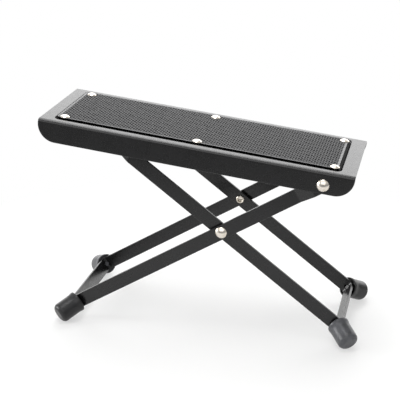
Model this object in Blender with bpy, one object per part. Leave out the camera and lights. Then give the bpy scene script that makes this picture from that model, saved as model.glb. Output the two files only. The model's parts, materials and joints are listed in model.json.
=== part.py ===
"""A folding footstool: a flanged steel plate with a rubber mat, standing on a scissor of two strap frames."""

import math

import bmesh
import bpy
from mathutils import Vector

MM = 0.001
DEGREE = math.pi / 180
QUARTER_TURN = math.pi / 2

# Top plate
PLATE_LENGTH = 300 * MM
PLATE_WIDTH = 115 * MM
PLATE_SHEET = 1.5 * MM
PLATE_BEND = 3.4 * MM
FLANGE_DEPTH = 21.3 * MM
FLANGE_CORNER = 17.5 * MM
PLATE_TILT = 6.81 * DEGREE

# Stamped recess for the mat
RECESS_END_RIM = 12.5 * MM
RECESS_SIDE_RIM = 7.5 * MM
RECESS_DEPTH = 1.3 * MM
RECESS_CORNER = 6 * MM
RECESS_WALL = 1.2 * MM

# Rubber mat
MAT_MARGIN = 4 * MM
MAT_THICKNESS = 1.9 * MM
MAT_EDGE = 0.5 * MM
MAT_DIMPLE = 0.6 * MM

# Rivets: a domed head, a shank, and a hollow end whose wall is rolled over
MAT_HEAD = 9 * MM
MAT_DOME = 1.6 * MM
MAT_SHANK = 4 * MM
MAT_ROLL_WALL = 0.5 * MM
MAT_RIVET_FROM_END = 4.3 * MM
MAT_RIVET_FROM_SIDE = 5.4 * MM
SCISSOR_HEAD = 11.3 * MM
SCISSOR_DOME = 2.4 * MM
PIVOT_HEAD = 11.6 * MM
PIVOT_DOME = 2.6 * MM
PIVOT_SHANK = 6 * MM
PIVOT_ROLL_WALL = 0.85 * MM
RIVET_RIM = 0.4 * MM

# Strap frames
STRAP_WIDTH = 13.7 * MM
STRAP_SHEET = 2.5 * MM
STRAP_EDGE = 0.35 * MM
STRAP_BEND = 3.75 * MM
OUTER_ANGLE = 31.02 * DEGREE
INNER_ANGLE = 37.49 * DEGREE
SCISSOR_HEIGHT = 104.3 * MM
SCISSOR_TO_PIVOT = 110.7 * MM
PIVOT_DEPTH = 13.2 * MM
PIVOT_FROM_END = 27.5 * MM

# The outer frame's arms step outwards to the flanges, the inner frame's step inwards to the rod
OUTER_STEP = 5.7 * MM
OUTER_STEP_START = 19 * MM
OUTER_STEP_RUN = 15.5 * MM
INNER_STEP = 4.9 * MM
INNER_STEP_START = 14 * MM
INNER_STEP_RUN = 11.8 * MM
STEP_BEND = 5 * MM

# Spacer washers between the frames
WASHER_OUTSIDE = 12 * MM
WASHER_SHEET = 1 * MM

# Lock rod and notched rail
ROD_DEPTH = 15 * MM
ROD_DIAMETER = 6 * MM
ROD_TENON = 4.4 * MM
ROD_HEAD = 7.6 * MM
ROD_HEAD_HEIGHT = 1.4 * MM
RAIL_WIDTH = 50 * MM
RAIL_SHEET = 2 * MM
RAIL_BEND = 3 * MM
RAIL_EAR_LENGTH = 9 * MM
RAIL_EAR_DEPTH = 3.5 * MM
RAIL_TAIL = 6 * MM
NOTCH_COUNT = 5
NOTCH_PITCH = 10.2 * MM
NOTCH_DEPTH = 5.4 * MM
NOTCH_SLANT = 1.7 * MM
ROD_PLAY = 0.35 * MM
EAR_GAP = 0.8 * MM

# Rubber feet
FOOT_LENGTH = 24.2 * MM
FOOT_MOUTH = 20.8 * MM
FOOT_END = 19.8 * MM
FOOT_ROUNDING = 4.5 * MM
FOOT_LIP = 1.4 * MM
FOOT_LIP_DEPTH = 2 * MM
FOOT_STEM = 5 * MM

# Clearances, and the length by which a cutter runs past what it cuts
FIT = 0.3 * MM
HOLE_PLAY = 0.3 * MM
OVERRUN = 2 * MM

ARC_STEPS = 5
ROUND_STEPS = 24
SMALL_ROUND_STEPS = 16
WELD = 0.001 * MM

# What follows from the sizes above
PIVOT_X = PLATE_LENGTH / 2 - PIVOT_FROM_END
FLANGE_INSIDE = PLATE_WIDTH / 2 - PLATE_SHEET
OUTER_TIP_FACE = FLANGE_INSIDE - FIT
OUTER_FACE = OUTER_TIP_FACE - OUTER_STEP
INNER_FACE = OUTER_FACE - STRAP_SHEET - WASHER_SHEET - 2 * FIT
INNER_TIP_FACE = INNER_FACE - INNER_STEP
SCISSOR_DEPTH = PIVOT_DEPTH + SCISSOR_TO_PIVOT * math.sin(OUTER_ANGLE + PLATE_TILT)
SCISSOR_TO_ROD = (SCISSOR_DEPTH - ROD_DEPTH) / math.sin(INNER_ANGLE - PLATE_TILT)
SCISSOR_X = PIVOT_X - SCISSOR_TO_PIVOT * math.cos(OUTER_ANGLE + PLATE_TILT)
ROD_X = SCISSOR_X - SCISSOR_TO_ROD * math.cos(INNER_ANGLE - PLATE_TILT)
RECESS_HALF = Vector((PLATE_LENGTH / 2 - RECESS_END_RIM, PLATE_WIDTH / 2 - RECESS_SIDE_RIM))
MAT_HALF = RECESS_HALF - Vector((MAT_MARGIN, MAT_MARGIN))
MAT_TOP = MAT_THICKNESS + FIT - RECESS_DEPTH
STRAP_APEX = STRAP_BEND * (math.sqrt(2) - 1)
FOOT_SEAT = STRAP_SHEET / 2 - STRAP_APEX + FIT
FOOT_REACH = FOOT_SEAT - FOOT_LIP_DEPTH + FOOT_LENGTH


def foot_support(slope):
    """How far a foot reaches past its frame's corner, in a direction that its axis meets at this cosine."""
    ends = (FOOT_REACH - FOOT_ROUNDING) * slope
    sides = (FOOT_END / 2 - FOOT_ROUNDING) * math.sqrt(1 - slope**2)
    return ends + sides + FOOT_ROUNDING


def corner_distance(angle):
    """The length along a frame from the scissor to its corner that puts the foot on the floor."""
    return (SCISSOR_HEIGHT - foot_support(math.sin(angle) / math.sqrt(2))) / math.sin(angle)


OUTER_CORNER = corner_distance(OUTER_ANGLE)
INNER_CORNER = corner_distance(INNER_ANGLE)
PLATE_LEFT = (
    SCISSOR_TO_PIVOT * math.cos(OUTER_ANGLE)
    - (PIVOT_X + PLATE_LENGTH / 2 - FLANGE_CORNER) * math.cos(PLATE_TILT)
    + (PIVOT_DEPTH - FLANGE_DEPTH + FLANGE_CORNER) * math.sin(PLATE_TILT)
    - FLANGE_CORNER
)
FOOT_RIGHT = INNER_CORNER * math.cos(INNER_ANGLE) + foot_support(math.cos(INNER_ANGLE) / math.sqrt(2))
SCISSOR_AXIS = Vector((-(PLATE_LEFT + FOOT_RIGHT) / 2, 0, SCISSOR_HEIGHT))


def clear_scene():
    for old in list(bpy.data.objects):
        bpy.data.objects.remove(old)


def finish(name, colour, metallic, roughness):
    """A Principled material, made once."""
    made = bpy.data.materials.get(name)
    if made is None:
        made = bpy.data.materials.new(name)
        made.use_nodes = True
        shader = made.node_tree.nodes["Principled BSDF"]
        shader.inputs["Base Color"].default_value = (*colour, 1)
        shader.inputs["Metallic"].default_value = metallic
        shader.inputs["Roughness"].default_value = roughness
    return made


def powder_coat():
    return finish("black_powder_coat", (0.022, 0.021, 0.022), 0, 0.38)


def mat_rubber():
    return finish("mat_rubber", (0.03, 0.03, 0.032), 0, 0.75)


def foot_rubber():
    return finish("foot_rubber", (0.025, 0.025, 0.027), 0, 0.55)


def nickel():
    return finish("nickel_plated_steel", (0.72, 0.7, 0.66), 1, 0.25)


def zinc():
    return finish("zinc_plated_steel", (0.6, 0.61, 0.62), 1, 0.4)


def axis_empty(name, location, turn):
    """An empty on a joint's axis, turned about Y. The pieces of one moving part hang on it."""
    empty = bpy.data.objects.new(name, None)
    empty.location = location
    empty.rotation_euler = (0, turn, 0)
    bpy.context.scene.collection.objects.link(empty)
    return empty


def object_of(name, mesh_edit, parent, material=None):
    """Turns a bmesh into an object under an axis. Without a material it is a cutter."""
    bmesh.ops.remove_doubles(mesh_edit, verts=mesh_edit.verts, dist=WELD)
    bmesh.ops.recalc_face_normals(mesh_edit, faces=mesh_edit.faces)
    mesh = bpy.data.meshes.new(name)
    mesh_edit.to_mesh(mesh)
    mesh_edit.free()
    mesh.shade_smooth()
    mesh.set_sharp_from_angle(angle=QUARTER_TURN / 3)
    made = bpy.data.objects.new(name, mesh)
    made.parent = parent
    if material:
        mesh.materials.append(material)
    else:
        made.hide_render = True
        made.display_type = "WIRE"
    bpy.context.scene.collection.objects.link(made)
    return made


def copy_of(original, name, location, turn):
    """Another object with the same mesh, such as the next rivet of a row."""
    made = bpy.data.objects.new(name, original.data)
    made.parent = original.parent
    made.location = location
    made.rotation_euler = turn
    bpy.context.scene.collection.objects.link(made)
    return made


def combine(target, other, operation):
    modifier = target.modifiers.new(f"{operation}_{other.name}".lower(), "BOOLEAN")
    modifier.operation = operation
    modifier.object = other
    modifier.solver = "EXACT"


def arc(centre, radius, start, end, steps=ARC_STEPS):
    """Points on a circle between two angles, both ends included."""
    turns = [start + (end - start) * k / steps for k in range(steps + 1)]
    return [(centre[0] + radius * math.cos(t), centre[1] + radius * math.sin(t)) for t in turns]


def rounded_rectangle(half_length, half_width, radius):
    corners = ((1, 1), (-1, 1), (-1, -1), (1, -1))
    points = []
    for k, (sx, sy) in enumerate(corners):
        centre = (sx * (half_length - radius), sy * (half_width - radius))
        points += arc(centre, radius, k * QUARTER_TURN, (k + 1) * QUARTER_TURN)
    return points


def lofted(mesh_edit, rings):
    """A closed body through rings of equally many points, with both ends capped."""
    placed = [[mesh_edit.verts.new(point) for point in ring] for ring in rings]
    for below, above in zip(placed, placed[1:]):
        for k in range(len(below)):
            following = (k + 1) % len(below)
            mesh_edit.faces.new((below[k], below[following], above[following], above[k]))
    mesh_edit.faces.new(placed[0])
    mesh_edit.faces.new(placed[-1])


def extruded_across(mesh_edit, outline, front, back):
    """An outline in X and Z, extruded along Y."""
    lofted(mesh_edit, [[(x, y, z) for x, z in outline] for y in (front, back)])


def extruded_along(mesh_edit, outline, start, end):
    """An outline in Y and Z, extruded along X."""
    lofted(mesh_edit, [[(x, y, z) for y, z in outline] for x in (start, end)])


def turned(mesh_edit, profile, steps):
    """A body of revolution about Z. The profile holds radius and height, and starts and ends on the axis."""
    points = [mesh_edit.verts.new((radius, 0, height)) for radius, height in profile]
    edges = [mesh_edit.edges.new(pair) for pair in zip(points, points[1:])]
    bmesh.ops.spin(
        mesh_edit,
        geom=points + edges,
        cent=(0, 0, 0),
        axis=(0, 0, 1),
        angle=2 * math.pi,
        steps=steps,
        use_merge=True,
    )


def pin(mesh_edit, start, end, radius, steps=ROUND_STEPS):
    """A plain round cutter from one point to another."""
    along = (end - start).normalized()
    side = along.orthogonal().normalized()
    other = along.cross(side)
    rings = []
    for centre in (start, end):
        turns = [2 * math.pi * k / steps for k in range(steps)]
        rings.append([centre + radius * (math.cos(t) * side + math.sin(t) * other) for t in turns])
    lofted(mesh_edit, rings)


def bent_line(corners, radii):
    """Stations along a line that is bent at its inner corners: each is a point and its left-hand normal."""
    corners = [Vector(corner) for corner in corners]
    stations = []
    for k, corner in enumerate(corners):
        before = (corner - corners[k - 1]).normalized() if k else None
        after = (corners[k + 1] - corner).normalized() if k + 1 < len(corners) else None
        if before is None or after is None:
            way = after if before is None else before
            stations.append((corner, Vector((-way.y, way.x))))
            continue
        turn = before.angle_signed(after) * -1
        radius = radii[k - 1]
        tangent = radius * math.tan(abs(turn) / 2)
        side = math.copysign(1, turn)
        normal = Vector((-before.y, before.x))
        centre = corner - before * tangent + normal * side * radius
        steps = max(2, round(ARC_STEPS * abs(turn) / QUARTER_TURN))
        for step in range(steps + 1):
            angle = turn * step / steps
            spun = Vector(
                (
                    normal.x * math.cos(angle) - normal.y * math.sin(angle),
                    normal.x * math.sin(angle) + normal.y * math.cos(angle),
                )
            )
            stations.append((centre - spun * side * radius, spun))
    return stations


def strap_ring(point, normal, half_width):
    """The strap's cross-section at a station, with its edges broken."""
    thick, flat = STRAP_SHEET / 2, STRAP_SHEET / 2 - STRAP_EDGE
    wide, tall = half_width, half_width - STRAP_EDGE
    section = (
        (thick, tall), (flat, wide), (-flat, wide), (-thick, tall),
        (-thick, -tall), (-flat, -wide), (flat, -wide), (thick, -tall),
    )
    return [(point.x + normal.x * n, point.y + normal.y * n, z) for n, z in section]


def strap(mesh_edit, corners, radii):
    """A flat strap on edge along a bent line, with its two ends rounded in side view."""
    stations = bent_line(corners, radii)
    half = STRAP_WIDTH / 2
    head, tail = [], []
    shrinks = [QUARTER_TURN * k / ARC_STEPS for k in range(ARC_STEPS)]
    for rings, here, there in ((head, stations[0], stations[1]), (tail, stations[-1], stations[-2])):
        inwards = (there[0] - here[0]).normalized()
        for shrink in shrinks:
            reach = half * (1 - math.sin(QUARTER_TURN - shrink)) + STRAP_EDGE
            width = max(half * math.cos(QUARTER_TURN - shrink), 2 * STRAP_EDGE)
            rings.append(strap_ring(here[0] + inwards * (reach - STRAP_EDGE), here[1], width))
        rings.append(strap_ring(here[0] + inwards * half, here[1], half))
    body = [strap_ring(point, normal, half) for point, normal in stations[1:-1]]
    lofted(mesh_edit, head + body + tail[::-1])


def u_frame(name, parent, foot_side, tip_x, tip_face, face, step_near, step_far, corner_x):
    """A strap bent into a U that lies in its own X and Y, with its closed end on the side of the feet."""
    middle = STRAP_SHEET / 2
    arm, tip = face - middle, tip_face - middle
    corners = [(tip_x, tip), (step_near, tip), (step_far, arm), (corner_x, arm)]
    corners += [(x, -y) for x, y in reversed(corners)]
    radii = [STEP_BEND, STEP_BEND, STRAP_BEND, STRAP_BEND, STEP_BEND, STEP_BEND]
    mesh_edit = bmesh.new()
    strap(mesh_edit, corners, radii)
    made = object_of(name, mesh_edit, parent, powder_coat())
    holes = bmesh.new()
    across = Vector((0, PLATE_WIDTH / 2 + OVERRUN, 0))
    far_hole = Vector((tip_x - math.copysign(STRAP_WIDTH / 2, tip_x), 0, 0))
    far_radius = (PIVOT_SHANK if foot_side < 0 else ROD_TENON) / 2 + HOLE_PLAY
    pin(holes, -across, across, PIVOT_SHANK / 2 + HOLE_PLAY)
    pin(holes, far_hole - across, far_hole + across, far_radius)
    for side in (-1, 1):
        corner = Vector((corner_x, side * arm, 0))
        out = Vector((foot_side, side, 0)).normalized()
        deep = STRAP_SHEET + STRAP_APEX + OVERRUN
        pin(holes, corner - out * deep, corner + out * deep, FOOT_STEM / 2 + HOLE_PLAY, SMALL_ROUND_STEPS)
    combine(made, object_of(f"{name}_holes", holes, parent), "DIFFERENCE")
    return made


def outer_frame(parent):
    tip = SCISSOR_TO_PIVOT + STRAP_WIDTH / 2
    near = SCISSOR_TO_PIVOT - OUTER_STEP_START
    far = near - OUTER_STEP_RUN
    return u_frame("outer_frame", parent, -1, tip, OUTER_TIP_FACE, OUTER_FACE, near, far, -OUTER_CORNER)


def inner_frame(parent):
    tip = -SCISSOR_TO_ROD - STRAP_WIDTH / 2
    near = -SCISSOR_TO_ROD + INNER_STEP_START
    far = near + INNER_STEP_RUN
    return u_frame("inner_frame", parent, 1, tip, INNER_TIP_FACE, INNER_FACE, near, far, INNER_CORNER)


def foot_profile():
    """Half outline of a foot about its axis: zero height is the sharp corner of the strap's middle line."""
    mouth = FOOT_SEAT - FOOT_LIP_DEPTH
    stem_end = -STRAP_APEX - STRAP_SHEET / 2
    rounding = arc(
        (FOOT_END / 2 - FOOT_ROUNDING, FOOT_REACH - FOOT_ROUNDING),
        FOOT_ROUNDING,
        0,
        QUARTER_TURN,
    )
    return [
        (0, stem_end),
        (FOOT_STEM / 2, stem_end),
        (FOOT_STEM / 2, FOOT_SEAT),
        (FOOT_MOUTH / 2 - FOOT_LIP, FOOT_SEAT),
        (FOOT_MOUTH / 2 - FOOT_LIP, mouth),
        (FOOT_MOUTH / 2 - FOOT_LIP / 3, mouth),
        (FOOT_MOUTH / 2, mouth + FOOT_LIP / 3),
        *rounding,
        (0, FOOT_REACH),
    ]


def feet(name, parent, foot_side, corner_x, face):
    """The two rubber feet of a frame, each on the diagonal of its corner."""
    arm = face - STRAP_SHEET / 2
    mesh_edit = bmesh.new()
    turned(mesh_edit, foot_profile(), ROUND_STEPS)
    front_way = Vector((foot_side, -1, 0)).to_track_quat("Z", "X").to_euler()
    back_way = Vector((foot_side, 1, 0)).to_track_quat("Z", "X").to_euler()
    front = object_of(f"{name}_front", mesh_edit, parent, foot_rubber())
    front.location = (corner_x, -arm, 0)
    front.rotation_euler = front_way
    copy_of(front, f"{name}_back", (corner_x, arm, 0), back_way)


def rivet_profile(head, dome, shank, wall, grip):
    """Half outline of a domed rivet with a rolled, hollow end. Zero height is the underside of its head."""
    ball = ((head / 2) ** 2 + dome**2) / (2 * dome)
    rim_angle = math.asin(head / 2 / ball)
    dome_arc = arc((0, dome + RIVET_RIM - ball), ball, QUARTER_TURN, QUARTER_TURN - rim_angle)
    hollow = shank / 2 - wall
    roll = shank / 2 + wall
    return [
        (0, dome + RIVET_RIM),
        *dome_arc[1:],
        (head / 2, 0),
        (shank / 2, 0),
        (shank / 2, -grip),
        (roll, -grip),
        (roll + wall / 2, -grip - wall / 2),
        (roll + wall / 2, -grip - wall),
        (roll - wall / 2, -grip - 2 * wall),
        (hollow + wall / 2, -grip - 2 * wall),
        (hollow, -grip - 3 * wall / 2),
        (hollow, wall - grip),
        (0, wall - grip),
    ]


def rivet_pair(name, parent, head, dome, seat, inside):
    """Two rivets across the stool, facing out. The head sits on seat, and the end is rolled at inside."""
    mesh_edit = bmesh.new()
    grip = seat - inside + 2 * FIT
    turned(mesh_edit, rivet_profile(head, dome, PIVOT_SHANK, PIVOT_ROLL_WALL, grip), ROUND_STEPS)
    front = object_of(f"{name}_front", mesh_edit, parent, nickel())
    front.location = (0, -seat - FIT, 0)
    front.rotation_euler = (QUARTER_TURN, 0, 0)
    copy_of(front, f"{name}_back", (0, seat + FIT, 0), (-QUARTER_TURN, 0, 0))


def scissor_washers(parent):
    mesh_edit = bmesh.new()
    bore = PIVOT_SHANK / 2 + HOLE_PLAY
    outside = WASHER_OUTSIDE / 2
    turns = [2 * math.pi * k / ROUND_STEPS for k in range(ROUND_STEPS)]
    section = ((bore, 0), (outside, 0), (outside, WASHER_SHEET), (bore, WASHER_SHEET))
    rings = [
        [mesh_edit.verts.new((r * math.cos(t), r * math.sin(t), z)) for r, z in section] for t in turns
    ]
    for k, ring in enumerate(rings):
        following = rings[(k + 1) % len(rings)]
        for j in range(len(section)):
            beside = (j + 1) % len(section)
            mesh_edit.faces.new((ring[j], ring[beside], following[beside], following[j]))
    seat = OUTER_FACE - STRAP_SHEET - FIT
    front = object_of("scissor_washer_front", mesh_edit, parent, zinc())
    front.location = (0, -seat, 0)
    front.rotation_euler = (-QUARTER_TURN, 0, 0)
    copy_of(front, "scissor_washer_back", (0, seat, 0), (QUARTER_TURN, 0, 0))


def lock_rod(parent):
    """A round bar between the inner frame's tips, with tenons through them that are riveted over."""
    shoulder = INNER_TIP_FACE - STRAP_SHEET - FIT
    end = INNER_TIP_FACE + FIT
    half = [
        (ROD_DIAMETER / 2, shoulder),
        (ROD_TENON / 2, shoulder),
        (ROD_TENON / 2, end),
        (ROD_HEAD / 2, end),
        (ROD_HEAD / 2, end + ROD_HEAD_HEIGHT / 3),
        (ROD_HEAD / 4, end + ROD_HEAD_HEIGHT),
        (0, end + ROD_HEAD_HEIGHT),
    ]
    profile = [(r, -z) for r, z in reversed(half)] + half
    mesh_edit = bmesh.new()
    turned(mesh_edit, profile, ROUND_STEPS)
    made = object_of("lock_rod", mesh_edit, parent, zinc())
    made.location = (-SCISSOR_TO_ROD, 0, 0)
    made.rotation_euler = (QUARTER_TURN, 0, 0)


def plate_point(x, depth):
    """A place on the plate, from its middle and down from its top, as X and Z about the plate's pivot."""
    return (x - PIVOT_X, PIVOT_DEPTH - depth)


def plate_height(depth):
    return PIVOT_DEPTH - depth


def channel_outline(half, sheet, bend, top, bottom):
    """Cross-section of a folded channel, open downwards, in Y and Z."""
    centre = (half - bend, top - bend)
    outside = [(half, bottom), *arc(centre, bend, 0, QUARTER_TURN)]
    inside = [(half - sheet, bottom), *arc(centre, bend - sheet, 0, QUARTER_TURN)]
    outside += [(-y, z) for y, z in reversed(outside)]
    inside += [(-y, z) for y, z in reversed(inside)]
    return outside + inside[::-1]


def slab(mesh_edit, half, corner, levels):
    """A rounded rectangle on the plate, from level to level: each has the inset there and the depth."""
    rings = []
    for inset, depth in levels:
        outline = rounded_rectangle(half.x - inset, half.y - inset, corner - inset)
        rings.append([(x - PIVOT_X, y, plate_height(depth)) for x, y in outline])
    lofted(mesh_edit, rings)


def mat_rivet_places():
    """Names and places of the mat's rivets, in X from the plate's middle and in Y."""
    along = MAT_HALF.x - MAT_RIVET_FROM_END
    aside = MAT_HALF.y - MAT_RIVET_FROM_SIDE
    columns = (("left", -along), ("middle", 0), ("right", along))
    rows = (("front", -aside), ("back", aside))
    return [(f"{row}_{column}", x, y) for row, y in rows for column, x in columns]


def rivet_holes(mesh_edit, radius, low, high):
    for _, x, y in mat_rivet_places():
        start = Vector((x - PIVOT_X, y, plate_height(low)))
        end = Vector((x - PIVOT_X, y, plate_height(high)))
        pin(mesh_edit, start, end, radius, SMALL_ROUND_STEPS)


def top_plate(parent):
    """The folded plate, with the mat's recess stamped into it and the flanges' lower corners rounded."""
    start, end = -PLATE_LENGTH / 2 - PIVOT_X, PLATE_LENGTH / 2 - PIVOT_X
    top, bottom = plate_height(0), plate_height(FLANGE_DEPTH)
    sheet = bmesh.new()
    outline = channel_outline(PLATE_WIDTH / 2, PLATE_SHEET, PLATE_BEND, top, bottom)
    extruded_along(sheet, outline, start, end)
    made = object_of("top_plate", sheet, parent, powder_coat())

    bulge = bmesh.new()
    wall = PLATE_SHEET / 2
    slab(bulge, RECESS_HALF, RECESS_CORNER, ((-wall, wall), (RECESS_WALL - wall, RECESS_DEPTH + PLATE_SHEET)))
    combine(made, object_of("recess_bulge", bulge, parent), "UNION")

    cut = bmesh.new()
    slab(cut, RECESS_HALF, RECESS_CORNER, ((0, -OVERRUN), (0, 0), (RECESS_WALL, RECESS_DEPTH)))
    combine(made, object_of("recess_cut", cut, parent), "DIFFERENCE")

    trim = bmesh.new()
    across = PLATE_WIDTH / 2 + OVERRUN
    level = FLANGE_DEPTH - FLANGE_CORNER
    for side in (-1, 1):
        inner = PLATE_LENGTH / 2 - FLANGE_CORNER
        far = PLATE_LENGTH / 2 + OVERRUN
        deep = FLANGE_DEPTH + OVERRUN
        curve = arc((inner, level), FLANGE_CORNER, 0, QUARTER_TURN, 2 * ARC_STEPS)
        points = [(far, level), *curve, (inner, deep), (far, deep)]
        extruded_across(trim, [plate_point(side * x, d) for x, d in points], -across, across)
    combine(made, object_of("flange_trim", trim, parent), "DIFFERENCE")

    holes = bmesh.new()
    sideways = Vector((0, across, 0))
    pin(holes, -sideways, sideways, PIVOT_SHANK / 2 + HOLE_PLAY)
    rivet_holes(holes, MAT_SHANK / 2 + HOLE_PLAY, -OVERRUN, RECESS_DEPTH + PLATE_SHEET + OVERRUN)
    combine(made, object_of("plate_holes", holes, parent), "DIFFERENCE")


def rubber_mat(parent):
    """The mat, with a dimple round each rivet where the head presses it down."""
    levels = ((0, RECESS_DEPTH - FIT), (0, MAT_EDGE - MAT_TOP), (MAT_EDGE, -MAT_TOP))
    sheet = bmesh.new()
    slab(sheet, MAT_HALF, RECESS_CORNER - RECESS_WALL, levels)
    made = object_of("rubber_mat", sheet, parent, mat_rubber())
    holes = bmesh.new()
    rivet_holes(holes, MAT_SHANK / 2 + HOLE_PLAY, RECESS_DEPTH + OVERRUN, -MAT_TOP - OVERRUN)
    combine(made, object_of("mat_holes", holes, parent), "DIFFERENCE")
    dimples = bmesh.new()
    rivet_holes(dimples, MAT_HEAD / 2 + HOLE_PLAY, MAT_DIMPLE - MAT_TOP, -MAT_TOP - OVERRUN)
    combine(made, object_of("mat_dimples", dimples, parent), "DIFFERENCE")


def mat_rivets(parent):
    """Six rivets through mat and plate, rolled over under the recess."""
    seat = MAT_DIMPLE - MAT_TOP - FIT
    grip = RECESS_DEPTH + PLATE_SHEET + FIT - seat
    mesh_edit = bmesh.new()
    turned(mesh_edit, rivet_profile(MAT_HEAD, MAT_DOME, MAT_SHANK, MAT_ROLL_WALL, grip), SMALL_ROUND_STEPS)
    first = None
    for name, x, y in mat_rivet_places():
        place = (x - PIVOT_X, y, plate_height(seat))
        if first is None:
            first = object_of(f"mat_rivet_{name}", mesh_edit, parent, nickel())
            first.location = place
        else:
            copy_of(first, f"mat_rivet_{name}", place, (0, 0, 0))


def notch_line():
    """The lower edge of the rail from the ear to the tail, in X from the plate's middle and depth."""
    tip = ROD_DEPTH - ROD_DIAMETER / 2 - ROD_PLAY
    radius = ROD_DIAMETER / 2 + ROD_PLAY
    points = []
    for k in range(NOTCH_COUNT):
        middle = ROD_X - k * NOTCH_PITCH
        root = arc((middle, tip - NOTCH_DEPTH + radius), radius, 0, -2 * QUARTER_TURN, 2 * ARC_STEPS)
        points += [(middle + radius + NOTCH_SLANT, tip), *root, (middle - radius, tip)]
    return points


def notch_rail(parent):
    """A channel under the plate. Its walls carry a row of slanted notches for the rod, and an ear at the end."""
    notches = notch_line()
    tip = notches[0][1]
    ear_start = notches[0][0] + EAR_GAP
    right = ear_start + RAIL_EAR_LENGTH
    left = notches[-1][0] - RAIL_TAIL
    roof = RECESS_DEPTH + PLATE_SHEET + FIT
    floor = ROD_DEPTH + RAIL_EAR_DEPTH
    mesh_edit = bmesh.new()
    outline = channel_outline(RAIL_WIDTH / 2, RAIL_SHEET, RAIL_BEND, plate_height(roof), plate_height(floor))
    extruded_along(mesh_edit, outline, left - PIVOT_X, right - PIVOT_X)
    made = object_of("notch_rail", mesh_edit, parent, powder_coat())
    far, deep = left - OVERRUN, floor + OVERRUN
    slope = right - RAIL_EAR_LENGTH / 3
    points = [(ear_start, deep), (ear_start, tip), *notches, (far, tip), (far, deep)]
    corner = [(slope, deep), (right, floor - RAIL_EAR_LENGTH / 3), (right + OVERRUN, deep)]
    cut = bmesh.new()
    across = RAIL_WIDTH / 2 + OVERRUN
    for shape in (points, corner):
        extruded_across(cut, [plate_point(x, d) for x, d in shape], -across, across)
    combine(made, object_of("notch_cut", cut, parent), "DIFFERENCE")


def build():
    clear_scene()
    outer_axis = axis_empty("outer_frame_axis", SCISSOR_AXIS, -OUTER_ANGLE)
    inner_axis = axis_empty("inner_frame_axis", SCISSOR_AXIS, INNER_ANGLE)
    reach = Vector((math.cos(OUTER_ANGLE), 0, math.sin(OUTER_ANGLE))) * SCISSOR_TO_PIVOT
    plate_axis = axis_empty("plate_axis", SCISSOR_AXIS + reach, PLATE_TILT)

    outer_frame(outer_axis)
    feet("outer_foot", outer_axis, -1, -OUTER_CORNER, OUTER_FACE)
    scissor_inside = INNER_FACE - STRAP_SHEET
    rivet_pair("scissor_rivet", outer_axis, SCISSOR_HEAD, SCISSOR_DOME, OUTER_FACE, scissor_inside)
    scissor_washers(outer_axis)

    inner_frame(inner_axis)
    feet("inner_foot", inner_axis, 1, INNER_CORNER, INNER_FACE)
    lock_rod(inner_axis)

    top_plate(plate_axis)
    rubber_mat(plate_axis)
    mat_rivets(plate_axis)
    notch_rail(plate_axis)
    pivot_inside = OUTER_TIP_FACE - STRAP_SHEET
    rivet_pair("pivot_rivet", plate_axis, PIVOT_HEAD, PIVOT_DOME, PLATE_WIDTH / 2, pivot_inside)


build()
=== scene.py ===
"""The looks of a folding footstool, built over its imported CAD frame.

Each CAD piece is dressed with a finer one in its real finish, and all of it stands in a plain studio.
"""

import json
import math

import bmesh
import bpy
import numpy as np
from bpy.props import FloatProperty, FloatVectorProperty, PointerProperty
from mathutils import Matrix, Vector


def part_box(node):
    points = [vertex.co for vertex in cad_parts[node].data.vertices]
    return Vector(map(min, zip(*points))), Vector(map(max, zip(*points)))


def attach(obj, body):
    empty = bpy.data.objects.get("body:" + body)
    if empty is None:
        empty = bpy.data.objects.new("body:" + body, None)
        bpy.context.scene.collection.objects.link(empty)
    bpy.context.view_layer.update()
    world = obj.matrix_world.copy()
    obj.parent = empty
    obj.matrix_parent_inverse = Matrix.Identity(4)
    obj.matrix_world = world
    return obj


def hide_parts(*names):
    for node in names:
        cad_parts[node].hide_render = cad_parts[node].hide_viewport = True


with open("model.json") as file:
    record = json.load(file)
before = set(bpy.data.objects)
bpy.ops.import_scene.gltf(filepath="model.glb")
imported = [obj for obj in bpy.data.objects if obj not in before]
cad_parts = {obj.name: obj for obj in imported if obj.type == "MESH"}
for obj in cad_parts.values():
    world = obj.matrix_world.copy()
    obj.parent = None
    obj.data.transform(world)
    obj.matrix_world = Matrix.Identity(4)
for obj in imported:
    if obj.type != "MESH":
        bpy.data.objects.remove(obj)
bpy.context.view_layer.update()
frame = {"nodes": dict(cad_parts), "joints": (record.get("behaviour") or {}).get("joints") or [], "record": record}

bl_info = {
    "name": "Folding footstool",
    "version": (1, 0, 0),
    "blender": (4, 5, 0),
    "location": "3D View > Sidebar > Footstool",
    "description": "Dresses the frame of a folding footstool and stands it in a plain studio",
    "category": "Object",
}

MM = 0.001
QUARTER_TURN = math.pi / 2
SIDES = (("front", -1), ("back", 1))
WHITE = (1, 1, 1, 1)
# Points closer than this are one, and edges sharper than this stay crisp.
WELD = 0.002 * MM
SHARP = math.radians(35)
# Room round a pin in its hole, and the air between faces that lie on each other.
PLAY = 0.3 * MM
TOUCH = 0.02 * MM


# Where the CAD has things


def joint_place(name):
    return Vector(next(joint["pos_m"] for joint in frame["joints"] if joint["name"] == name))


def axes_at(place, turn):
    """A piece's own axes: at a place, turned about the stool's sideways axis."""
    return Matrix.Translation(place) @ Matrix.Rotation(turn, 4, "Y")


def cad_box(node, axes):
    """Lowest and highest corner of a CAD node, measured along a piece's own axes."""
    inward = axes.inverted()
    points = np.array([inward @ vertex.co for vertex in frame["nodes"][node].data.vertices])
    return Vector(points.min(0)), Vector(points.max(0))


SCISSOR = joint_place("scissor")
PIVOT = joint_place("plate_fold")
ROD = sum(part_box("lock_rod"), Vector()) / 2
TREAD = next(mount["axis"] for mount in frame["record"]["mounts"] if mount["name"] == "tread_top")

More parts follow.
